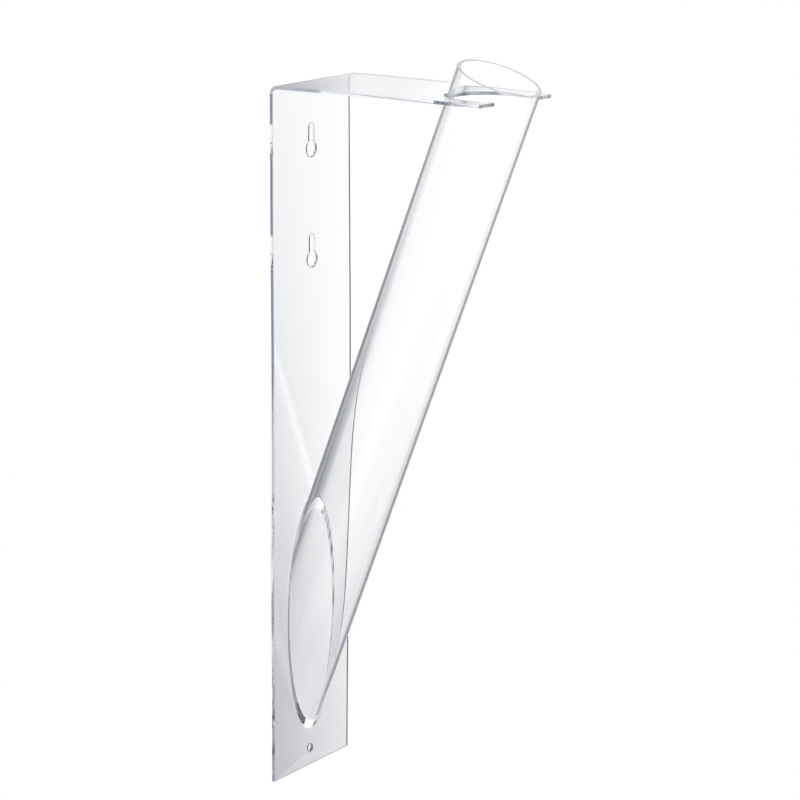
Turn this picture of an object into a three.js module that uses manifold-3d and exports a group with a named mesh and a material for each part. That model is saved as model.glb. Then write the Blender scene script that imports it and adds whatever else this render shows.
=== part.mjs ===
// Wall-hung flower tube in clear acrylic.
// One heat-bent sheet makes the back plate and the shelf. A round tube leans out from the plate: its foot is cut on the
// slant and cemented to the plate, which closes it, and near the rim it stands in a round notch open to the shelf's front.
// Millimetres, +Z up, +X to the right seen from the front, the wall behind the plate at y = 0.
// The origin is the centre of the plate's back face.

import * as THREE from "three";
import { mergeVertices } from "three/addons/utils/BufferGeometryUtils.js";
import Module from "manifold-3d";

// ---- Driving dimensions -------------------------------------------------------------------------------------------
const PLATE_W = 101.6; // width of the sheet
const PLATE_H = 533.4; // bottom edge to the top of the shelf
const SHEET_T = 2.5; // sheet thickness
const SHELF_L = 177.8; // back face to the shelf's front edge
const BEND_R = 6.0; // outer radius of the heat bend
const BEND_STEPS = 10;

const TUBE_OD = 63.5;
const TUBE_WALL = 2.4;
const TUBE_TILT = 20.7; // degrees from the vertical, leaning away from the wall
const TUBE_LEN = 457.2; // along the axis, from the middle of the slanted foot to the rim
const FOOT_Z = 117.9; // height of the middle of the foot above the plate's bottom edge
const TUBE_SIDES = 96;

const BOND = 0.3; // cement line between the plate and the tube's foot
const BOND_PLAY = 0.03; // clearance on each side of the cement ring
const BEAD = 0.6; // how far the cement stands out past the tube's wall, inside and outside

const NOTCH_D = 69.85; // round notch in the shelf
const NOTCH_Y = 158.75; // its centre, measured from the back face
const NOTCH_SIDES = 96;

const KEY_HEAD_D = 12.7; // keyhole: round hole that passes a screw head
const KEY_SLOT_W = 6.35; // keyhole: slot above it for the shank
const KEY_TALL = 25.4; // bottom of the head hole to the top of the slot
const KEY_Z = [481.6, 398.2]; // head-hole centres above the plate's bottom edge
const LOCK_D = 6.35; // lock-screw hole near the bottom edge
const LOCK_Z = 12.7;
const HOLE_SIDES = 32;

const LOCK_ZONE_TOP = 22.0; // the plate is laid out in zones, so that each screw seat is a face of its own
const FOOT_ZONE_TOP = 380.0;

// ---- Solids -------------------------------------------------------------------------------------------------------
const wasm = await Module();
wasm.setup();

// Geometry to solid: only positions are kept, so that shared corners merge.
function solid(geometry) {
  const g = (geometry.index ? geometry.toNonIndexed() : geometry).clone();
  g.deleteAttribute("normal");
  g.deleteAttribute("uv");
  const m = mergeVertices(g, 1e-4);
  const tri = new Uint32Array(m.index.array);
  const kept = [];
  for (let i = 0; i < tri.length; i += 3)
    if (tri[i] !== tri[i + 1] && tri[i + 1] !== tri[i + 2] && tri[i] !== tri[i + 2])
      kept.push(tri[i], tri[i + 1], tri[i + 2]);
  const make = (t) =>
    new wasm.Manifold(
      new wasm.Mesh({ numProp: 3, vertProperties: m.attributes.position.array, triVerts: new Uint32Array(t) }),
    );
  const s = make(kept);
  if (s.volume() > 0) return s;
  for (let i = 0; i < kept.length; i += 3) [kept[i + 1], kept[i + 2]] = [kept[i + 2], kept[i + 1]];
  return make(kept);
}

// Solid back to geometry.
function geometryOf(s) {
  const m = s.getMesh();
  const v = new Float32Array(m.numVert * 3);
  for (let i = 0; i < m.numVert; i++) v.set(m.vertProperties.subarray(i * m.numProp, i * m.numProp + 3), i * 3);
  const g = new THREE.BufferGeometry();
  g.setAttribute("position", new THREE.BufferAttribute(v, 3));
  g.setIndex(new THREE.BufferAttribute(new Uint32Array(m.triVerts), 1));
  g.computeVertexNormals();
  return g;
}

// A side profile, drawn as (distance in front of the wall, height), made into a body as wide as the sheet.
function acrossSheet(points) {
  const shape = new THREE.Shape(points.map(([out, up]) => new THREE.Vector2(out, up)));
  const g = new THREE.ExtrudeGeometry(shape, { depth: PLATE_W, bevelEnabled: false });
  // profile x runs to the front (-Y), profile y runs up (+Z), the depth runs across (X)
  g.applyMatrix4(new THREE.Matrix4().set(0, 0, 1, -PLATE_W / 2, -1, 0, 0, 0, 0, 1, 0, 0, 0, 0, 0, 1));
  return solid(g);
}

// An outline in the plate's face, drawn as (across, height), made into a cutter through the plate.
function throughPlate(shape, far = 6) {
  const g = new THREE.ExtrudeGeometry(shape, { depth: SHEET_T + 2 * far, bevelEnabled: false });
  g.applyMatrix4(new THREE.Matrix4().set(1, 0, 0, 0, 0, 0, -1, far, 0, 1, 0, 0, 0, 0, 0, 1));
  return solid(g);
}

// ---- Bent sheet: back plate, bend and shelf -------------------------------------------------------------------------
function profileTop(z0) {
  const p = [[0, z0]];
  const arc = (r, from, to) => {
    for (let i = 0; i <= BEND_STEPS; i++) {
      const a = from + ((to - from) * i) / BEND_STEPS;
      p.push([BEND_R - r * Math.cos(a), PLATE_H - BEND_R + r * Math.sin(a)]);
    }
  };
  arc(BEND_R, 0, Math.PI / 2); // outside of the bend, from the back face up to the shelf's top
  p.push([SHELF_L, PLATE_H], [SHELF_L, PLATE_H - SHEET_T]);
  arc(BEND_R - SHEET_T, Math.PI / 2, 0); // inside of the bend, back to the plate's front face
  p.push([SHEET_T, z0]);
  return p;
}
const slab = (z0, z1) => [
  [0, z0],
  [0, z1],
  [SHEET_T, z1],
  [SHEET_T, z0],
];

function keyhole(z) {
  const half = KEY_SLOT_W / 2;
  const r = KEY_HEAD_D / 2;
  const top = z - r + KEY_TALL - half; // centre of the slot's round end
  const open = Math.asin(half / r);
  const s = new THREE.Shape();
  const pts = [];
  const n = HOLE_SIDES;
  for (let i = 0; i <= n; i++) {
    // round the head hole from the slot's left side, down and up to its right side
    const a = Math.PI / 2 + open + ((2 * Math.PI - 2 * open) * i) / n;
    pts.push(new THREE.Vector2(r * Math.cos(a), z + r * Math.sin(a)));
  }
  for (let i = 0; i <= n / 2; i++) {
    const a = (Math.PI * i) / (n / 2);
    pts.push(new THREE.Vector2(half * Math.cos(a), top + half * Math.sin(a)));
  }
  s.setFromPoints(pts);
  return s;
}

const lockHole = new THREE.Shape();
lockHole.absarc(0, LOCK_Z, LOCK_D / 2, 0, 2 * Math.PI, false);
const lockOutline = new THREE.Shape(lockHole.getPoints(HOLE_SIDES / 2).slice(0, -1));

const notch = new THREE.CylinderGeometry(NOTCH_D / 2, NOTCH_D / 2, SHEET_T + 12, NOTCH_SIDES);
notch.applyMatrix4(new THREE.Matrix4().makeRotationX(Math.PI / 2));
notch.translate(0, -NOTCH_Y, PLATE_H - SHEET_T / 2);

let sheet = acrossSheet(slab(0, LOCK_ZONE_TOP))
  .add(acrossSheet(slab(LOCK_ZONE_TOP, FOOT_ZONE_TOP)))
  .add(acrossSheet(profileTop(FOOT_ZONE_TOP)));
for (const z of KEY_Z) sheet = sheet.subtract(throughPlate(keyhole(z)));
sheet = sheet.subtract(throughPlate(lockOutline)).subtract(solid(notch));

// ---- Tube: square rim, slanted foot -----------------------------------------------------------------------------------
const tilt = THREE.MathUtils.degToRad(TUBE_TILT);
const ro = TUBE_OD / 2;
const ri = ro - TUBE_WALL;
const below = ro / Math.tan(tilt) + 20; // spare length under the foot's middle, taken off by the slanted cut
const tubeGeometry = new THREE.LatheGeometry(
  [
    [ri, -below],
    [ro, -below],
    [ro, TUBE_LEN],
    [ri, TUBE_LEN],
    [ri, -below],
  ].map(([x, y]) => new THREE.Vector2(x, y)),
  TUBE_SIDES,
);
tubeGeometry.rotateX(Math.PI / 2); // the tube's axis goes from Y to Z
tubeGeometry.rotateX(tilt); // and leans away from the wall, towards -Y
tubeGeometry.translate(0, -SHEET_T, FOOT_Z);
const wallSide = new THREE.BoxGeometry(400, 400, 900);
wallSide.translate(0, 200 - SHEET_T - BOND, FOOT_Z);
const tube = solid(tubeGeometry).subtract(solid(wallSide));

// ---- Cement ring between the tube's foot and the plate ----------------------------------------------------------------
const ring = new THREE.Shape();
ring.absellipse(0, FOOT_Z, ro + BEAD, (ro + BEAD) / Math.sin(tilt), 0, 2 * Math.PI, false);
const ringOuter = new THREE.Shape(ring.getPoints(TUBE_SIDES / 2).slice(0, -1));
const bore = new THREE.Path();
bore.absellipse(0, FOOT_Z, ri - BEAD, (ri - BEAD) / Math.sin(tilt), 0, 2 * Math.PI, true);
ringOuter.holes.push(new THREE.Path(bore.getPoints(TUBE_SIDES / 2).slice(0, -1)));
const weldGeometry = new THREE.ExtrudeGeometry(ringOuter, { depth: BOND - 2 * BOND_PLAY, bevelEnabled: false });
weldGeometry.applyMatrix4(
  new THREE.Matrix4().set(1, 0, 0, 0, 0, 0, -1, -SHEET_T - BOND_PLAY, 0, 1, 0, 0, 0, 0, 0, 1),
);
const weld = solid(weldGeometry);

// ---- Assembly -----------------------------------------------------------------------------------------------------------
const clear = (color, roughness, opacity) =>
  new THREE.MeshStandardMaterial({ color, roughness, metalness: 0, transparent: true, opacity });

function piece(name, s, material) {
  const mesh = new THREE.Mesh(geometryOf(s), material);
  mesh.name = name;
  return mesh;
}

const fromBottomEdge = new THREE.Group(); // heights above are measured from the plate's bottom edge
fromBottomEdge.position.set(0, 0, -PLATE_H / 2);
fromBottomEdge.add(
  piece("wall_bracket", sheet, clear(0xeef1f4, 0.05, 0.3)),
  piece("water_tube", tube, clear(0xf3f5f7, 0.04, 0.25)),
  piece("foot_weld", weld, clear(0xd9dde2, 0.15, 0.6)),
);

const flowerTube = new THREE.Group();
flowerTube.add(fromBottomEdge);

export default flowerTube;
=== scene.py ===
# Clear acrylic flower tube for a wall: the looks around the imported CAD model.
# Fine meshes stand for the three CAD nodes: the bent sheet, the tube and the cement ring at the tube's foot.
import math

import bmesh
import bpy
from mathutils import Matrix, Vector, geometry, noise


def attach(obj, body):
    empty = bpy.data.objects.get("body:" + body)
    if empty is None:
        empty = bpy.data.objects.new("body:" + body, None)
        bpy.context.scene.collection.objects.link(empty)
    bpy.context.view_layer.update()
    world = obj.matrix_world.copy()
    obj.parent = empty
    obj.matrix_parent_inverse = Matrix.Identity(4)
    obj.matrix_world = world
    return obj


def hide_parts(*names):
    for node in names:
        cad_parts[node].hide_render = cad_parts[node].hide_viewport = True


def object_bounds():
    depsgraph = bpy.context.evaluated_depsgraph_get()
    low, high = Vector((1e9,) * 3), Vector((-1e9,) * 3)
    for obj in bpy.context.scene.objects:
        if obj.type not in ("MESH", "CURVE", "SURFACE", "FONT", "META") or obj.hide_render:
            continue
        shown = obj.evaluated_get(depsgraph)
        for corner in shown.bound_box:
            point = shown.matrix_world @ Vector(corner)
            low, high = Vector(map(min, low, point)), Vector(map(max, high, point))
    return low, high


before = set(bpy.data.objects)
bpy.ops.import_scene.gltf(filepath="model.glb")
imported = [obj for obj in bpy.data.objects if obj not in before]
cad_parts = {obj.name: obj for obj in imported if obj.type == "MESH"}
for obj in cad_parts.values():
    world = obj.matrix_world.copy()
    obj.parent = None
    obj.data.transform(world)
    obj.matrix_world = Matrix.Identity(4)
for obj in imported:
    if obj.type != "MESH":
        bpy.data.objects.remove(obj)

CAD_BOX = [[float(v) for v in corner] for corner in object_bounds()]

# ---- Sizes in millimetres, heights above the plate's bottom edge, as in the CAD model ------------------------------------
W, H, T = 101.6, 533.4, 2.5
SHELF, BEND = 177.8, 6.0
ORIGIN_Z = H / 2
RO, WALL, LENGTH = 31.75, 2.4, 457.2
RI = RO - WALL
TILT = math.radians(20.7)
FOOT_Z, FOOT_Y = 117.9, -2.8
NOTCH_R, NOTCH_Y = 34.925, 158.75
KEY_R, SLOT_R, KEY_TALL = 6.35, 3.175, 25.4
KEY_Z = (481.6, 398.2)
LOCK_R, LOCK_Z = 3.175, 12.7
CHAMFER = 0.22  # scraped edges of the sheet
BOW = 1.4
TWIST = 1.17
CURL = 1.6
SIN, COS = math.sin(TILT), math.cos(TILT)


def place(x, y, z):
    """Millimetres above the bottom edge to metres in the CAD frame."""
    return Vector((x / 1000, y / 1000, (z - ORIGIN_Z) / 1000))


# ---- Materials --------------------------------------------------------------------------------------------------------------
class Nodes:
    """A material's node tree, with short ways to add and join nodes."""

    def __init__(self, name):
        self.mat = bpy.data.materials.new(name)
        self.mat.use_nodes = True
        self.tree = self.mat.node_tree
        self.tree.nodes.clear()
        self.out = self.add("ShaderNodeOutputMaterial")

    def add(self, kind, **values):
        n = self.tree.nodes.new(kind)
        for k, v in values.items():
            setattr(n, k, v)
        return n

    def link(self, a, b):
        self.tree.links.new(a, b)

    def coords(self, scale, turn=(0, 0, 0)):
        tc = self.add("ShaderNodeTexCoord")
        m = self.add("ShaderNodeMapping")
        m.inputs["Scale"].default_value = scale
        m.inputs["Rotation"].default_value = turn
        self.link(tc.outputs["Object"], m.inputs["Vector"])
        return m.outputs["Vector"]

    def noise(self, vector, scale, detail=2.0, rough=0.5):
        n = self.add("ShaderNodeTexNoise")
        n.inputs["Scale"].default_value = scale
        n.inputs["Detail"].default_value = detail
        n.inputs["Roughness"].default_value = rough
        self.link(vector, n.inputs["Vector"])
        return n.outputs["Fac"]

    def spread(self, value, lo, hi, to_lo, to_hi):
        n = self.add("ShaderNodeMapRange")
        n.clamp = True
        for i, v in enumerate((lo, hi, to_lo, to_hi)):
            n.inputs[i + 1].default_value = v
        self.link(value, n.inputs[0])
        return n.outputs[0]

    def maths(self, op, a, b):
        n = self.add("ShaderNodeMath", operation=op)
        for i, v in enumerate((a, b)):
            if isinstance(v, (int, float)):
                n.inputs[i].default_value = v
            else:
                self.link(v, n.inputs[i])
        return n.outputs[0]

    def colours(self, fac, a, b):
        n = self.add("ShaderNodeMix", data_type="RGBA")
        n.inputs[6].default_value = (*a, 1)
        n.inputs[7].default_value = (*b, 1)
        self.link(fac, n.inputs[0])
        return n.outputs[2]

    def bump(self, height, distance, strength=1.0):
        n = self.add("ShaderNodeBump")
        n.inputs["Strength"].default_value = strength
        n.inputs["Distance"].default_value = distance
        self.link(height, n.inputs["Height"])
        return n.outputs["Normal"]

    def acrylic(self, colour, rough, normal=None, ior=1.49, absorb=None, clear=1.0):
        p = self.add("ShaderNodeBsdfPrincipled")
        p.inputs["Transmission Weight"].default_value = clear
        p.inputs["IOR"].default_value = ior
        self.link(colour, p.inputs["Base Color"])
        self.link(rough, p.inputs["Roughness"])
        if normal is not None:
            self.link(normal, p.inputs["Normal"])
        self.link(p.outputs[0], self.out.inputs["Surface"])
        if absorb:
            v = self.add("ShaderNodeVolumeAbsorption")
            v.inputs["Color"].default_value = (*absorb[0], 1)
            v.inputs["Density"].default_value = absorb[1]
            self.link(v.outputs[0], self.out.inputs["Volume"])
        return self.mat


BLUE = ((0.62, 0.76, 1.0), 0.6)  # long ways through the sheet turn a little blue
PALE = ((0.72, 0.82, 1.0), 0.5)


def sheet_face():
    """Cast sheet as delivered: polished, with faint handling marks and a trace of waviness."""
    m = Nodes("sheet_polished")
    v = m.coords((1, 1, 1))
    marks = m.noise(v, 40.0, 5.0, 0.6)
    rough = m.spread(marks, 0.52, 0.75, 0.0, 0.012)
    colour = m.colours(m.noise(v, 6.0, 3.0), (0.984, 0.987, 0.991), (0.997, 0.998, 1.0))
    wave = m.bump(m.noise(v, 9.0, 1.0), 0.00006, 0.5)
    return m.acrylic(colour, rough, wave, absorb=BLUE)


def sheet_edge(name, waves, across, depth, haze):
    """Sawn and polished edge: fine cutter lines across the thickness, and chatter that grows towards the bottom."""
    m = Nodes(name)
    lines = m.noise(m.coords((30, 30, 900)), 1.0, 3.0, 0.65)
    chatter = m.noise(m.coords((waves / 2, across, waves)), 1.0, 1.0, 0.5)
    part = m.add("ShaderNodeSeparateXYZ")
    m.link(m.coords((1, 1, 1)), part.inputs[0])
    low = m.spread(part.outputs[2], 0.10, -0.03, 0.04, 1.0)
    rough = m.maths("MULTIPLY", m.spread(lines, 0.35, 0.75, haze * 0.6, haze), low)
    colour = m.colours(lines, (0.93, 0.945, 0.965), (0.985, 0.99, 1.0))
    height = m.maths("MULTIPLY", chatter, low)
    return m.acrylic(colour, rough, m.bump(height, depth, 0.8), absorb=BLUE)


def shelf_edge():
    """The shelf's long edges: cutter lines run the other way round."""
    m = Nodes("shelf_edge")
    lines = m.noise(m.coords((30, 900, 30)), 1.0, 3.0, 0.65)
    rough = m.spread(lines, 0.35, 0.75, 0.005, 0.08)
    colour = m.colours(lines, (0.92, 0.945, 0.975), (0.985, 0.992, 1.0))
    return m.acrylic(colour, rough, m.bump(lines, 0.00003, 0.5), absorb=BLUE)


def sawn_tip():
    """Prong ends straight from the saw: matt grey with coarse marks."""
    m = Nodes("sawn_tip")
    marks = m.noise(m.coords((480, 1, 110)), 1.0, 3.0, 0.6)
    bars = m.spread(marks, 0.43, 0.58, 0.0, 1.0)
    rough = m.spread(marks, 0.3, 0.7, 0.35, 0.6)
    colour = m.colours(bars, (0.24, 0.24, 0.245), (0.95, 0.95, 0.95))
    return m.acrylic(colour, rough, m.bump(marks, 0.00012, 0.8), absorb=BLUE, clear=0.45)


def hole_wall():
    """Routed walls of the keyholes, the lock hole and the notch."""
    m = Nodes("routed_wall")
    lines = m.noise(m.coords((900, 60, 900)), 1.0, 3.0, 0.6)
    rough = m.spread(lines, 0.35, 0.7, 0.02, 0.14)
    colour = m.colours(lines, (0.90, 0.92, 0.95), (0.98, 0.985, 0.99))
    return m.acrylic(colour, rough, m.bump(lines, 0.00003, 0.6), absorb=BLUE)


def drilled_wall():
    """The lock hole's wall, dull from the drill."""
    m = Nodes("drilled_wall")
    lines = m.noise(m.coords((260, 500, 260)), 1.0, 3.0, 0.6)
    rough = m.spread(lines, 0.35, 0.7, 0.1, 0.4)
    colour = m.colours(m.spread(lines, 0.4, 0.65, 0.0, 1.0), (0.16, 0.16, 0.165), (0.62, 0.62, 0.63))
    return m.acrylic(colour, rough, m.bump(lines, 0.00008, 0.6), absorb=BLUE, clear=0.45)


def tube_wall():
    """Extruded tube: very faint draw lines along its length."""
    m = Nodes("tube_polished")
    v = m.coords((160, 160, 3), (TILT, 0, 0))
    draw = m.noise(v, 1.0, 2.0)
    rough = m.spread(m.noise(m.coords((1, 1, 1)), 45.0, 5.0, 0.6), 0.54, 0.78, 0.0, 0.01)
    colour = m.colours(m.noise(m.coords((1, 1, 1)), 5.0, 2.0), (0.985, 0.99, 0.995), (0.998, 0.999, 1.0))
    return m.acrylic(colour, rough, m.bump(draw, 0.00002, 0.25), absorb=PALE)


def tube_rim():
    """Turned and polished rim."""
    m = Nodes("tube_rim")
    marks = m.noise(m.coords((500, 500, 500)), 1.0, 3.0, 0.6)
    rough = m.spread(marks, 0.35, 0.7, 0.01, 0.10)
    colour = m.colours(marks, (0.93, 0.935, 0.94), (0.985, 0.988, 0.99))
    return m.acrylic(colour, rough, m.bump(marks, 0.00002, 0.5), absorb=PALE, clear=0.35)


def cement_bead():
    """Set solvent cement: clear, a little lumpy."""
    m = Nodes("cement_bead")
    lumps = m.noise(m.coords((700, 700, 700)), 1.0, 3.0, 0.6)
    rough = m.spread(lumps, 0.4, 0.75, 0.02, 0.22)
    colour = m.colours(lumps, (0.84, 0.86, 0.88), (0.96, 0.965, 0.97))
    return m.acrylic(colour, rough, m.bump(lumps, 0.00008, 0.8))


def cement_voids():
    """Cement that has trapped air: dark, with a few clear specks."""
    m = Nodes("cement_voids")
    specks = m.noise(m.coords((620, 620, 620)), 1.0, 2.0, 0.6)
    rough = m.spread(specks, 0.4, 0.75, 0.1, 0.3)
    colour = m.colours(m.spread(specks, 0.52, 0.66, 0.0, 1.0), (0.05, 0.05, 0.055), (0.7, 0.7, 0.71))
    return m.acrylic(colour, rough, m.bump(specks, 0.00008, 0.8), clear=0.2)


def cement_haze():
    """Cement that has set cloudy in a thin layer."""
    m = Nodes("cement_haze")
    cloud = m.noise(m.coords((160, 160, 160)), 1.0, 3.0, 0.6)
    rough = m.spread(cloud, 0.4, 0.75, 0.3, 0.5)
    colour = m.colours(cloud, (0.955, 0.96, 0.97), (0.985, 0.987, 0.99))
    return m.acrylic(colour, rough, m.bump(cloud, 0.00003, 0.5), clear=0.4)


def bonded():
    """Where cement has melted two faces into one: the index doesn't change, so nothing shows."""
    m = Nodes("bonded_face")
    colour = m.colours(m.noise(m.coords((90, 90, 90)), 1.0, 3.0), (0.985, 0.988, 0.99), (1, 1, 1))
    rough = m.spread(m.noise(m.coords((300, 300, 300)), 1.0, 2.0), 0.5, 0.8, 0.0, 0.01)
    return m.acrylic(colour, rough, ior=1.0)


# ---- Mesh helpers -----------------------------------------------------------------------------------------------------------
def finish_mesh(bm, name, materials, sharp=22.0):
    bmesh.ops.recalc_face_normals(bm, faces=bm.faces[:])
    me = bpy.data.meshes.new(name)
    bm.to_mesh(me)
    bm.free()
    for mat in materials:
        me.materials.append(mat)
    me.shade_smooth()
    me.set_sharp_from_angle(angle=math.radians(sharp))
    ob = bpy.data.objects.new(name, me)
    bpy.context.scene.collection.objects.link(ob)
    return ob


def inset(loop, d):
    """A closed loop moved by d to its left, with mitred corners."""
    out = []
    n = len(loop)
    for i in range(n):
        a, b, c = (Vector(loop[(i + k) % n]) for k in (-1, 0, 1))
        e1, e2 = (b - a).normalized(), (c - b).normalized()
        n1, n2 = Vector((-e1.y, e1.x)), Vector((-e2.y, e2.x))
        m = n1 + n2
        m = m.normalized() if m.length > 1e-6 else n1
        out.append(tuple(b + m * (d / max(0.35, m.dot(n1)))))
    return out


def inside(p, loop):
    x, y = p
    odd = False
    j = len(loop) - 1
    for i in range(len(loop)):
        xi, yi = loop[i]
        xj, yj = loop[j]
        if (yi > y) != (yj > y) and x < (xj - xi) * (y - yi) / (yj - yi) + xi:
            odd = not odd
        j = i
    return odd


# ---- The bent sheet ---------------------------------------------------------------------------------------------------------
S1 = H - BEND  # the sheet laid flat: x across, s along it from the plate's bottom edge, t through it from the back face
BEND_LEN = math.pi / 2 * (BEND - T / 2)
S2 = S1 + BEND_LEN
S3 = S2 + SHELF - BEND
BEND_ROWS = [S1 + BEND_LEN * i / 18 for i in range(19)]


def bow(z, x):
    """How far the long plate stands forward: bowed between its ends, twisted with its right side forward, which is more of a
    curl at the stiffer foot, and curled at its lower left corner."""
    d = BOW * math.sin(math.pi * (z - 20) / 490) ** 2 if 20 < z < 510 else 0.0
    k = min(1.0, max(0.0, (H - BEND - z) / 200))
    f = min(1.0, max(0.0, (330 - z) / 120))
    d += TWIST * k * (2 - k) * max(0.0, (x + W / 2) / W) ** (1 + f * f * (3 - 2 * f))
    k = min(1.0, max(0.0, (180 - z) / 135))
    d += CURL * k * k * (3 - 2 * k) * max(0.0, (25 - x) / (25 + W / 2)) ** 3
    return d


def skew(x, s, t):
    """The plate's left edge is not quite square below its top: its back corner is a touch further in."""
    if x > -W / 2 + 0.5 or s > S1:
        return x
    k = min(1.0, max(0.0, (490 - s) / 90))
    return x + 0.045 * k * k * (3 - 2 * k) * (1 - t / T)


def fold(x, s, t):
    x = skew(x, s, t)
    if s <= S1:
        y, z = -t - bow(s, x), s
    elif s < S2:
        a = (s - S1) / BEND_LEN * math.pi / 2
        y, z = -BEND + (BEND - t) * math.cos(a), H - BEND + (BEND - t) * math.sin(a)
    else:
        y, z = -(BEND + s - S2), H - t
    u = max(0.0, -y - BEND) / (SHELF - BEND)
    z -= (0.9 + 2.8 * (x + W / 2) / W) * u ** 2.5  # the shelf has drooped a little, more on its right prong
    return place(x, y, z)


def keyhole_loop(zc):
    """Round the hole clockwise, so that the sheet is on the left."""
    open_ = math.asin(SLOT_R / KEY_R)
    top = zc - KEY_R + KEY_TALL - SLOT_R
    pts = []
    n = 56
    for i in range(n + 1):
        a = math.pi / 2 - open_ - (2 * math.pi - 2 * open_) * i / n
        pts.append((KEY_R * math.cos(a), zc + KEY_R * math.sin(a)))
    for i in range(25):
        a = math.pi - math.pi * i / 24
        pts.append((SLOT_R * math.cos(a), top + SLOT_R * math.sin(a)))
    return pts


def lock_loop():
    n = 48
    return [(LOCK_R * math.cos(-2 * math.pi * i / n), LOCK_Z + LOCK_R * math.sin(-2 * math.pi * i / n)) for i in range(n)]


def outer_loop():
    """The sheet's outline anticlockwise, with the notch; each point carries the kind of edge that starts there."""
    up = BEND_ROWS[:1] + [S1 - 0.6] + BEND_ROWS[1:] + [S2 + 0.6]
    up = sorted(set(up + [S2 + 6 + k * (S3 - S2 - 12) / 24 for k in range(25)] + [8.0 * k for k in range(1, 65)]))
    pts = [((-W / 2, 0.0), 3), ((W / 2, 0.0), 7)]
    pts += [((W / 2, s), 7 if s < S2 - 1e-6 else 2) for s in up]
    cs = S2 + NOTCH_Y - BEND
    a0 = math.asin((S3 - cs) / NOTCH_R)
    mouth = NOTCH_R * math.cos(a0)
    pts += [((W / 2, S3), 4), ((W / 2 - (W / 2 - mouth) / 2, S3), 4)]
    n = 120
    for i in range(n + 1):
        a = a0 - (math.pi + 2 * a0) * i / n
        pts.append(((NOTCH_R * math.cos(a), cs + NOTCH_R * math.sin(a)), 5 if i < n else 4))
    pts += [((-W / 2 + (W / 2 - mouth) / 2, S3), 4), ((-W / 2, S3), 2)]
    pts += [((-W / 2, s), 2 if s > S2 + 1e-6 else 1) for s in reversed(up)]
    return pts


def foot_s(r, a, y0):
    """How far along the tube's axis a line at radius r and angle a meets the plane y0, bowed like the plate."""
    v = r * math.sin(a)
    s = (-T - y0 + v * COS) / SIN
    for _ in range(8):
        s = (-T - y0 + bow(FOOT_Z + s * COS + v * SIN, r * math.cos(a)) + v * COS) / SIN
    return s


def ellipse(r, n, widen=None, y0=-T):
    """The tube's outline at the plate's front face, widened by a bead."""
    pts = []
    for i in range(n):
        a = 2 * math.pi * i / n
        rr = r + (widen(a) if widen else 0)
        s = foot_s(rr, a, y0)
        pts.append((rr * math.cos(a), FOOT_Z + s * COS + rr * math.sin(a) * SIN))
    return pts


# the cement: next to nothing under the foot, a thin bead at its sides, and a fillet that fills the narrow wedge above it
def lump(a, k, seed):
    beady = 0.06 + 0.4 * max(0.0, math.cos(a))  # smooth on the left side, beady on the right
    return 1 + beady * noise.noise(Vector((k * math.cos(a), k * math.sin(a), seed)))


def bead_out(a):
    up = math.sin(a)
    return 0.07 + 0.22 * (1 + up) * lump(a, 6.1, 1.7) + 0.75 * max(0.0, up) ** 10


def bead_in(a):
    return -(0.12 + 0.22 * lump(a, 7.3, 8.2))


def climb(a):
    """How far the cement climbs up the outside of the tube."""
    up = math.sin(a)
    return 0.06 + 0.2 * (1 + up) * lump(a, 6.1, 1.7) + 3.0 * max(0.0, up) ** 10


RING = 256


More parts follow.
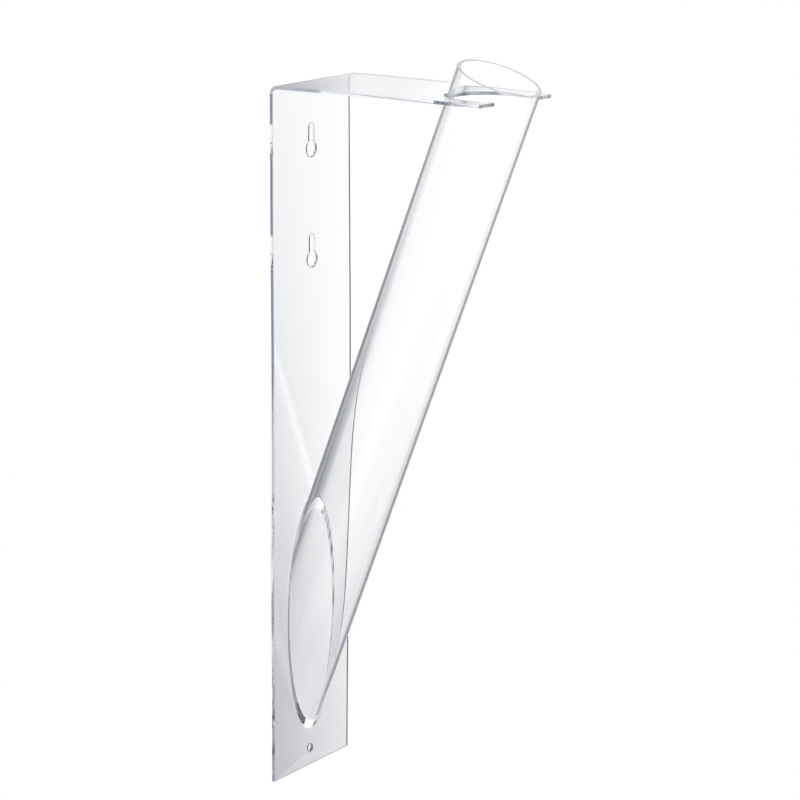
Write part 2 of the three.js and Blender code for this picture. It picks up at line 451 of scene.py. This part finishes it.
def make_sheet():
    bm = bmesh.new()
    outline = outer_loop()
    loops = [([p for p, _ in outline], [k for _, k in outline])]
    for zc in KEY_Z:
        pts = keyhole_loop(zc)
        loops.append((pts, [5] * len(pts)))
    pts = lock_loop()
    loops.append((pts, [8] * len(pts)))

    caps = {0: [], 1: []}  # inset loops, with their vertices, on the back and on the front face
    for pts, kinds in loops:
        n = len(pts)
        small = [(p[0], p[1] if p[1] > 0.5 else 0.03) for p in inset(pts, CHAMFER)]  # the bottom edge isn't scraped
        rings = []
        for ring, t in ((small, T), (pts, T - CHAMFER), (pts, CHAMFER), (small, 0.0)):
            rings.append([bm.verts.new(fold(p[0], p[1], t)) for p in ring])
        for a, b in zip(rings, rings[1:]):
            for i in range(n):
                j = (i + 1) % n
                f = bm.faces.new((a[i], b[i], b[j], a[j]))
                f.material_index = kinds[i]
        caps[1].append((small, rings[0]))
        caps[0].append((small, rings[3]))

    # free points and rows inside the outline: the bend's rows, and a net on the shelf that follows its droop
    rows = [S1 - 0.6] + BEND_ROWS + [S2 + 0.6]
    row_x = [-W / 2 + W * (k + 0.5) / 14 for k in range(14)]
    net = []
    s = S2 + 6
    step = (S3 - S2 - 12) / 24
    while s < S3 - 3:
        for k in range(14):
            x = -W / 2 + W * (k + 0.5) / 14
            if math.hypot(x, s - (S2 + NOTCH_Y - BEND)) > NOTCH_R + 2.5:
                net.append((x, s))
        s += step
    patch = [ellipse(RO, RING, bead_out), ellipse(RI, RING, bead_in)]
    busy = [p for q in patch for p in q] + [p for q, _ in loops[1:] for p in q]
    for j in range(1, 65):  # and a net on the plate, which follows its bow
        for k in range(14):
            p = (-W / 2 + W * (k + 0.5) / 14, 8.0 * j)
            if min((p[0] - q[0]) ** 2 + (p[1] - q[1]) ** 2 for q in busy) > 4 and not any(inside(p, q) for q, _ in loops[1:]):
                net.append(p)

    for side, t in ((1, T), (0, 0.0)):
        coords, verts, edges = [], [], []
        for pts, vs in caps[side]:
            base = len(coords)
            coords += [Vector(p) for p in pts]
            verts += vs
            edges += [(base + i, base + (i + 1) % len(pts)) for i in range(len(pts))]
        rim = [(i, c) for i, c in enumerate(coords)]
        for s in rows:
            left = min((i for i, c in rim if abs(c.y - s) < 1e-4 and c.x < 0), default=None)
            right = min((i for i, c in rim if abs(c.y - s) < 1e-4 and c.x > 0), default=None)
            chain = [left]
            for x in row_x:
                chain.append(len(coords))
                coords.append(Vector((x, s)))
                verts.append(bm.verts.new(fold(x, s, t)))
            chain.append(right)
            edges += list(zip(chain, chain[1:]))
        for x, s in net:
            coords.append(Vector((x, s)))
            verts.append(bm.verts.new(fold(x, s, t)))
        if side == 1:
            for pts in patch:
                base = len(coords)
                for p in pts:
                    coords.append(Vector(p))
                    verts.append(bm.verts.new(fold(p[0], p[1], t)))
                edges += [(base + i, base + (i + 1) % len(pts)) for i in range(len(pts))]
        got, _, tris, orig, _, _ = geometry.delaunay_2d_cdt(coords, edges, [], 0, 1e-7, True)
        key = [o[0] for o in orig]
        limits = [pts for pts, _ in caps[side]]
        for tri in tris:
            c = (got[tri[0]] + got[tri[1]] + got[tri[2]]) / 3
            if not inside(c, limits[0]) or any(inside(c, h) for h in limits[1:]):
                continue
            f = bm.faces.new([verts[key[i]] for i in tri])
            if side == 1 and inside(c, patch[0]) and not inside(c, patch[1]):
                f.material_index = 6
    return finish_mesh(
        bm,
        "bent_sheet",
        [
            sheet_face(),
            sheet_edge("sheet_edge_left", 24, 12, 0.0002, 0.26),
            shelf_edge(),
            sheet_edge_bottom(),
            sawn_tip(),
            hole_wall(),
            bonded(),
            sheet_edge("sheet_edge_right", 30, 15, 0.0001, 0.04),
            drilled_wall(),
        ],
    )


def sheet_edge_bottom():
    """The plate's bottom edge, with its cutter lines across the thickness."""
    m = Nodes("sheet_bottom_edge")
    lines = m.noise(m.coords((900, 30, 30)), 1.0, 3.0, 0.65)
    rough = m.spread(lines, 0.35, 0.75, 0.03, 0.25)
    colour = m.colours(lines, (0.88, 0.89, 0.905), (0.97, 0.975, 0.98))
    return m.acrylic(colour, rough, m.bump(lines, 0.00005, 0.7), absorb=BLUE, clear=0.15)


# ---- The tube ---------------------------------------------------------------------------------------------------------------
def on_tube(r, a, s):
    """A point at radius r and angle a round the axis, s along it from the middle of the foot."""
    v = r * math.sin(a)
    return place(r * math.cos(a), -T - s * SIN + v * COS, FOOT_Z + s * COS + v * SIN)


def make_tube():
    bm = bmesh.new()
    n = RING
    b = 0.35
    profile = [(RO, LENGTH - b)]
    for k in range(1, 4):
        q = math.pi / 2 * k / 3
        profile.append((RO - b + b * math.cos(q), LENGTH - b + b * math.sin(q)))
    for k in range(0, 4):
        q = math.pi / 2 * (3 - k) / 3
        profile.append((RI + b - b * math.cos(q), LENGTH - b + b * math.sin(q)))
    rings, kinds = [], []
    spots = [0.0, 0.004, 0.02, 0.1, 0.25, 0.45, 0.65, 0.85, 1.0]
    guard = LENGTH - b - 0.25  # a ring close under the rim, so that the wall's shading stays straight up to it
    rings.append([on_tube(RO, 2 * math.pi * i / n, foot_s(RO, 2 * math.pi * i / n, FOOT_Y)) for i in range(n)])
    kinds.append(2)  # the cement holds on to the wall as far as it climbs
    for f in spots:  # up the outside from the slanted foot
        ring = []
        for i in range(n):
            a = 2 * math.pi * i / n
            s0 = foot_s(RO, a, FOOT_Y) + climb(a)
            ring.append(on_tube(RO, a, s0 + (guard - s0) * f))
        rings.append(ring)
        kinds.append(0)
    for r, s in profile:
        rings.append([on_tube(r, 2 * math.pi * i / n, s) for i in range(n)])
        kinds.append(1)
    kinds[-1] = 0
    for f in reversed(spots):  # down the inside
        ring = []
        for i in range(n):
            a = 2 * math.pi * i / n
            s0 = foot_s(RI, a, FOOT_Y)
            ring.append(on_tube(RI, a, s0 + (guard - s0) * f))
        rings.append(ring)
        kinds.append(0)
    kinds[-1] = 2  # the slanted cut
    made = [[bm.verts.new(p) for p in ring] for ring in rings]
    for k in range(len(made)):
        a, c = made[k], made[(k + 1) % len(made)]
        for i in range(n):
            j = (i + 1) % n
            f = bm.faces.new((a[i], a[j], c[j], c[i]))
            f.material_index = kinds[k]
    return finish_mesh(bm, "clear_tube", [tube_wall(), tube_rim(), bonded()], 30.0)


# ---- The cement ring --------------------------------------------------------------------------------------------------------
def make_weld():
    bm = bmesh.new()
    n = RING
    low, top = -T - 0.01, FOOT_Y + 0.01

    def on_plate(r, y0, widen=None):
        return [place(x, y0 - bow(z, x), z) for x, z in ellipse(r, n, widen, y0)]

    angles = [2 * math.pi * i / n for i in range(n)]
    foot = on_plate(RO, top)
    reach = on_plate(RO, low, bead_out)
    cling = [on_tube(RO + 0.01, a, foot_s(RO, a, FOOT_Y) + climb(a)) for a in angles]
    hollow = [(p + q) / 2 * 0.88 + f * 0.12 for p, q, f in zip(reach, cling, foot)]  # the fillet's face sinks in a little
    inner_low, inner_top = on_plate(RI, low, bead_in), on_plate(RI, top)
    half_low = [p * 0.6 + q * 0.4 for p, q in zip(reach, inner_low)]
    inner_mid = [(p + q) / 2 * 0.9 + Vector((q.x, p.y, q.z)) * 0.1 for p, q in zip(inner_low, inner_top)]
    rings = [(foot, 1), (cling, 0), (hollow, 0), (reach, 1), (half_low, 1), (inner_low, 0), (inner_mid, 0), (inner_top, 1)]
    made = [([bm.verts.new(p) for p in ring], kind) for ring, kind in rings]
    for k in range(len(made)):
        a, kind = made[k]
        c = made[(k + 1) % len(made)][0]
        for i in range(n):
            j = (i + 1) % n
            f = bm.faces.new((a[i], a[j], c[j], c[i]))
            a0 = 360 * (i + 0.5) / n
            f.material_index = kind
            if (k == 4 and 229 < a0 < 252) or (k == 3 and (238 < a0 < 246 or 276 < a0 < 306)):
                f.material_index = 2
            elif k in (3, 4) and 165 < a0 < 232:
                f.material_index = 3
    return finish_mesh(bm, "cement_ring", [cement_bead(), bonded(), cement_voids(), cement_haze()], 30.0)


sheet = make_sheet()
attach(sheet, "root")
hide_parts("wall_bracket")

tube = make_tube()
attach(tube, "root")
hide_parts("water_tube")

weld = make_weld()
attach(weld, "root")
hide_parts("foot_weld")

# ---- Floor, light, camera -----------------------------------------------------------------------------------------------------
me = bpy.data.meshes.new("floor")
me.from_pydata([(-40, -40, 0), (40, -40, 0), (40, 40, 0), (-40, 40, 0)], [], [(0, 1, 2, 3)])
floor = bpy.data.objects.new("floor", me)
floor.location.z = CAD_BOX[0][2] - 0.004
bpy.context.scene.collection.objects.link(floor)
paper = bpy.data.materials.new("white_paper")
paper.use_nodes = True
nt = paper.node_tree
nt.nodes.clear()
out = nt.nodes.new("ShaderNodeOutputMaterial")
glow = nt.nodes.new("ShaderNodeEmission")
glow.inputs["Color"].default_value = (1.0, 1.0, 1.0, 1)
glow.inputs["Strength"].default_value = 1.0
clear = nt.nodes.new("ShaderNodeBsdfTransparent")
back = nt.nodes.new("ShaderNodeNewGeometry")
mix = nt.nodes.new("ShaderNodeMixShader")
nt.links.new(back.outputs["Backfacing"], mix.inputs[0])
nt.links.new(glow.outputs[0], mix.inputs[1])
nt.links.new(clear.outputs[0], mix.inputs[2])
nt.links.new(mix.outputs[0], out.inputs["Surface"])
me.materials.append(paper)
# the paper is lit to plain white for the camera; what the plastic mirrors and bends is the studio around it
floor.visible_diffuse = floor.visible_glossy = floor.visible_transmission = False
floor.visible_volume_scatter = floor.visible_shadow = False


def studio():
    """A lit backdrop behind the object, which falls off downwards and to the left, grey flags beside it, and soft light from above."""
    world = bpy.data.worlds.new("studio")
    bpy.context.scene.world = world
    world.use_nodes = True
    t = world.node_tree
    t.nodes.clear()
    new, link = t.nodes.new, t.links.new

    def maths(op, a, b=None, c=None):
        n = new("ShaderNodeMath")
        n.operation = op
        for i, v in enumerate((a, b, c)):
            if v is None:
                continue
            if isinstance(v, (int, float)):
                n.inputs[i].default_value = v
            else:
                link(v, n.inputs[i])
        return n.outputs[0]

    def curve(value, lo, hi, stops, top=1.6):
        """A value read off a chart of (place, height) pairs."""
        n = new("ShaderNodeValToRGB")
        n.color_ramp.interpolation = "LINEAR"
        e = n.color_ramp.elements
        while len(e) > 1:
            e.remove(e[-1])
        for i, (p, v) in enumerate(stops):
            x = e[0] if i == 0 else e.new((p - lo) / (hi - lo))
            x.position = (p - lo) / (hi - lo)
            x.color = (*[v / top] * 3, 1)
        link(maths("DIVIDE", maths("SUBTRACT", value, lo), hi - lo), n.inputs[0])
        return maths("MULTIPLY", n.outputs[0], top)

    tc = new("ShaderNodeTexCoord")
    sep = new("ShaderNodeSeparateXYZ")
    link(tc.outputs["Generated"], sep.inputs[0])
    x, y, z = sep.outputs
    around = maths("MULTIPLY", maths("ARCTAN2", x, y), 180 / math.pi)  # degrees from +Y towards +X
    lift = maths("MULTIPLY", maths("ARCSINE", z), 180 / math.pi)  # degrees above the horizon
    off = maths("SUBTRACT", around, BACKDROP)  # degrees to the right of the backdrop's middle

    # light that comes straight through the plastic shows the lit backdrop; what the plastic mirrors is the darker room,
    # and light that has run a long way inside the sheet comes from further up the backdrop
    path = new("ShaderNodeLightPath")
    mirrored = maths("GREATER_THAN", path.outputs["Glossy Depth"], 0.5)
    guided = maths("GREATER_THAN", path.outputs["Glossy Depth"], 1.5)

    def blend(a, b, fac):
        return maths("ADD", a, maths("MULTIPLY", fac, maths("SUBTRACT", b, a)))

    lean = curve(around, -180, 180, [(-180, 0), (45, 0), (55, 5), (180, 5)], 6.0)
    down = curve(maths("ADD", lift, lean), -90, 96, [(-90, 1), (-11, 1), (-4, 0), (96, 0)])
    behind = blend(curve(around, 0, 130, BEHIND_HIGH), curve(around, 0, 130, BEHIND_LOW), down)
    # further round, the backdrop is grey
    scattered = maths("GREATER_THAN", path.outputs["Diffuse Depth"], 0.5)
    round_about = curve(around, -180, 180, [(-180, 0.74), (6, 0.74), (13, 1), (118, 1), (132, 0.74), (180, 0.74)])
    behind = maths("MULTIPLY", behind, blend(round_about, 1.0, scattered))
    down = curve(lift, -90, 90, [(-90, 1), (-4, 1), (0.5, 0), (90, 0)])
    room = blend(curve(around, -180, 180, ROOM_HIGH), curve(around, -180, 180, ROOM_LOW), down)
    down = curve(lift, -90, 90, [(-90, 1), (-32, 1), (-24, 0), (90, 0)])
    room = blend(room, curve(around, -180, 180, ROOM_FLOOR), down)
    ring = blend(behind, room, mirrored)
    high = blend(curve(lift, -90, 90, LIFT), curve(lift, -90, 90, ROOM_LIFT), mirrored)
    high = blend(high, 1.1, maths("MULTIPLY", guided, curve(lift, -90, 90, [(-90, 0), (-3, 0), (0, 1), (20, 1), (30, 0), (90, 0)])))
    slope = curve(lift, -90, 90, FALL, 1.0)
    knee = maths("SUBTRACT", curve(lift, -90, 90, KNEE, 3.0), 2.0)
    left = maths("MAXIMUM", maths("SUBTRACT", knee, off), 0.0)
    drop = maths("MINIMUM", maths("MULTIPLY", left, slope), curve(lift, -90, 90, MOST))
    near = curve(off, -20, 40, [(-20, 0), (-5, 0.05), (-4, 0.1), (-3.2, 0.25), (-2.8, 0.5), (-2.45, 1), (14, 1), (30, 0), (40, 0)])
    wide = curve(off, -20, 40, [(-20, 0), (-8, 0.3), (-5, 0.6), (-3.5, 0.85), (-2.45, 1), (14, 1), (30, 0), (40, 0)])
    close = blend(near, wide, curve(lift, -90, 90, [(-90, 1), (-18.4, 1), (-15.7, 0), (90, 0)]))
    close = maths("MULTIPLY", close, maths("SUBTRACT", 1.0, guided))
    fall = maths("MULTIPLY", drop, close)
    # behind the tube the fall-off is gentler than beside it
    tubed = maths("MULTIPLY", maths("GREATER_THAN", path.outputs["Transmission Depth"], 2.5), maths("SUBTRACT", 1.0, mirrored))
    left = maths("SUBTRACT", maths("SUBTRACT", curve(lift, -30, 30, TUBE_KNEE, 6.0), 6.0), off)
    gentle = maths("MINIMUM", maths("MULTIPLY", maths("MAXIMUM", left, 0.0), 0.075), 0.3)
    gentle = maths("MULTIPLY", gentle, curve(off, -20, 40, [(-20, 0), (-12, 0), (-7, 1), (40, 1)]))
    fall = blend(fall, gentle, tubed)
    high = blend(high, curve(lift, -30, 30, TUBE_LIFT), tubed)
    light = maths("MULTIPLY", ring, maths("SUBTRACT", high, fall))
    wall = maths("MULTIPLY", mirrored, curve(around, -180, 180, [(-180, 0), (112, 0), (117, 1), (128, 1), (133, 0), (180, 0)]))
    deep = curve(lift, -90, 90, [(-90, 0.6), (-14.5, 0.6), (-11.5, 2.5), (90, 2.5)], 3.0)
    light = maths("MULTIPLY", light, blend(1.0, deep, maths("MULTIPLY", wall, guided)))
    paper = maths("MULTIPLY", guided, curve(lift, -90, 90, [(-90, 0.45), (-24, 0.45), (-20, 0), (90, 0)]))
    light = maths("MAXIMUM", light, paper)  # the white paper below
    far = curve(lift, -90, 90, [(-90, 0), (-15, 0), (-11, 1), (-4, 1), (-1, 0), (90, 0)])
    near_blue = curve(lift, -90, 90, [(-90, 0), (-24, 0), (-20, 1), (-4, 1), (-1, 0), (90, 0)])
    blue = maths("MULTIPLY", wall, blend(near_blue, far, guided))
    cool = new("ShaderNodeMix")
    cool.data_type = "RGBA"
    cool.inputs[6].default_value = (0.92, 0.96, 1.065, 1)
    cool.inputs[7].default_value = (1.0, 1.0, 1.0, 1)
    link(maths("MULTIPLY", light, 0.95), cool.inputs[0])
    painted = new("ShaderNodeMix")  # a blue wall to the right of the camera
    painted.data_type = "RGBA"
    painted.inputs[7].default_value = (0.74, 0.88, 1.3, 1)
    link(blue, painted.inputs[0])
    link(cool.outputs[2], painted.inputs[6])
    tint = new("ShaderNodeVectorMath")
    tint.operation = "SCALE"
    link(painted.outputs[2], tint.inputs[0])
    link(light, tint.inputs["Scale"])
    studio_bg = new("ShaderNodeBackground")
    link(tint.outputs[0], studio_bg.inputs["Color"])
    plain = new("ShaderNodeBackground")
    plain.inputs["Color"].default_value = (1.0, 1.0, 1.0, 1)
    mix = new("ShaderNodeMixShader")
    link(path.outputs["Is Camera Ray"], mix.inputs[0])
    link(studio_bg.outputs[0], mix.inputs[1])
    link(plain.outputs[0], mix.inputs[2])
    o = new("ShaderNodeOutputWorld")
    link(mix.outputs[0], o.inputs["Surface"])


BACKDROP = 57.494
# brightness round the horizon, higher up and lower down: of what is seen straight through the plastic, and of the room
# that it mirrors
BEHIND_HIGH = [(0, 1.0), (8, 0.95), (16, 0.8), (45, 0.78), (50, 0.88), (52.5, 0.95), (55, 1.0), (60, 1.0), (66, 1.12), (95, 1.22), (110, 1.12), (130, 1.0)]
BEHIND_LOW = [(0, 1.0), (8, 0.6), (16, 0.08), (42, 0.1), (45, 0.2), (47.5, 0.3), (50, 0.42), (51.5, 0.65), (52.5, 0.85), (54, 0.97), (55, 1.0), (60, 1.0), (66, 1.12), (95, 1.22), (110, 1.12), (130, 1.0)]
ROOM_HIGH = [(-180, 0.6), (-150, 0.75), (-122, 0.75), (-95, 0.7), (-78, 0.06), (-35, 0.06), (-15, 0.8), (16, 0.85), (24, 0.65), (29, 0.5), (45, 0.42), (48, 0.95), (50, 1.0), (57, 0.97), (58.2, 1.0), (58.8, 1.2), (66, 1.25), (69, 1.0), (72, 0.7), (85, 0.6), (90, 0.85), (97, 1.1), (112, 1.1), (117, 0.12), (128, 0.12), (133, 0.7), (180, 0.6)]
ROOM_LOW = [(-180, 0.6), (-150, 0.75), (-122, 0.75), (-95, 0.7), (-78, 0.06), (-35, 0.06), (-15, 0.1), (0, 0.1), (8, 0.2), (14, 0.34), (25, 0.34), (30, 0.24), (34, 0.15), (45, 0.15), (48, 0.9), (50, 1.0), (66, 1.0), (69, 0.85), (72, 0.3), (85, 0.3), (90, 0.75), (97, 1.1), (112, 1.1), (117, 0.12), (128, 0.12), (133, 0.7), (180, 0.6)]
ROOM_FLOOR = [(-180, 0.9), (-150, 1.0), (-95, 1.0), (-78, 0.5), (-35, 0.4), (45, 0.4), (60, 0.4), (92, 0.4), (102, 0.85), (150, 0.95), (180, 0.9)]
# brightness by height; how fast, from which angle on and how far at most the backdrop falls off to the left at that height
LIFT = [(-90, 0.8), (-40, 0.85), (-25, 0.92), (-20, 0.97), (-19, 0.985), (-17.4, 1.02), (-15.7, 1.05), (-14.4, 1.09), (-12.8, 1.115), (-11, 1.12), (-7, 1.13), (-5, 1.2), (0, 1.2), (6, 1.05), (20, 0.95), (45, 1.0), (90, 1.1)]
ROOM_LIFT = [(-90, 0.9), (-40, 0.9), (-25, 0.8), (-14.4, 1.0), (-7, 1.05), (0, 1.02), (6, 0.86), (12.8, 0.64), (25, 0.6), (45, 0.8), (60, 1.2), (90, 1.2)]
FALL = [(-90, 0.03), (-40, 0.1), (-20, 0.165), (-19, 0.17), (-17.4, 0.215), (-15.7, 0.215), (-14.4, 0.195), (-12.8, 0.175), (-11, 0.12), (-7, 0.06), (0, 0.18), (12.8, 0.62), (20, 0.52), (40, 0.0), (90, 0.0)]
KNEE = [(-90, 1.5), (-19, 1.4), (-15.7, 0.95), (-14.4, 0.8), (-5, 0.8), (0, 1.1), (12.8, 1.4), (90, 1.5)]
MOST = [(-90, 0.1), (-25, 0.4), (-19, 0.44), (-15.7, 0.34), (-14.4, 0.28), (-11, 0.15), (-7, 0.1), (0, 0.25), (12.8, 0.85), (20, 0.5), (40, 0.0), (90, 0.0)]
# the same behind the tube: brightness, and the angle from which on it falls off (6 is the backdrop's middle)
TUBE_LIFT = [(-30, 0.78), (-25, 0.8), (-19, 0.867), (-18.2, 0.885), (-17.8, 0.918), (-17.2, 0.967), (-16.5, 1.0), (-15.7, 1.0), (-14.9, 1.03), (-13.5, 1.05), (-12.8, 1.07), (-11, 1.1), (-7, 1.13), (-5, 1.2), (0, 1.2), (6, 1.05), (20, 0.95), (30, 0.97)]
TUBE_KNEE = [(-30, 5.0), (-19, 5.0), (-18.2, 5.4), (-17.8, 5.7), (-17.2, 5.85), (-16.5, 5.05), (-15.7, 4.4), (-14.4, 3.0), (-13.5, 1.5), (-10, 0.5), (30, 0.5)]
studio()

YAW, PITCH, ROLL = math.radians(57.494), math.radians(12.765), math.radians(0.5)
fwd = Vector((math.sin(YAW) * math.cos(PITCH), math.cos(YAW) * math.cos(PITCH), -math.sin(PITCH)))
right = Vector((math.cos(YAW), -math.sin(YAW), 0))
up = right.cross(fwd)
r2 = math.cos(ROLL) * right + math.sin(ROLL) * up
u2 = -math.sin(ROLL) * right + math.cos(ROLL) * up
cam = bpy.data.cameras.new("camera")
cam.sensor_fit = "HORIZONTAL"
cam.sensor_width = 36.0
cam.lens = 36.0 * 3097.42 / 800
cam.clip_start, cam.clip_end = 0.05, 200.0
eye = bpy.data.objects.new("camera", cam)
eye.matrix_world = Matrix(
    (
        (r2.x, u2.x, -fwd.x, -1.893862),
        (r2.y, u2.y, -fwd.y, -1.289174),
        (r2.z, u2.z, -fwd.z, 0.542024),
        (0, 0, 0, 1),
    )
)
bpy.context.scene.collection.objects.link(eye)
bpy.context.scene.camera = eye
bpy.context.scene.view_settings.view_transform = "Standard"
# light runs far along the inside of clear sheet, so its many inner reflections are followed
rays = bpy.context.scene.cycles
rays.max_bounces = rays.glossy_bounces = rays.transmission_bounces = 96
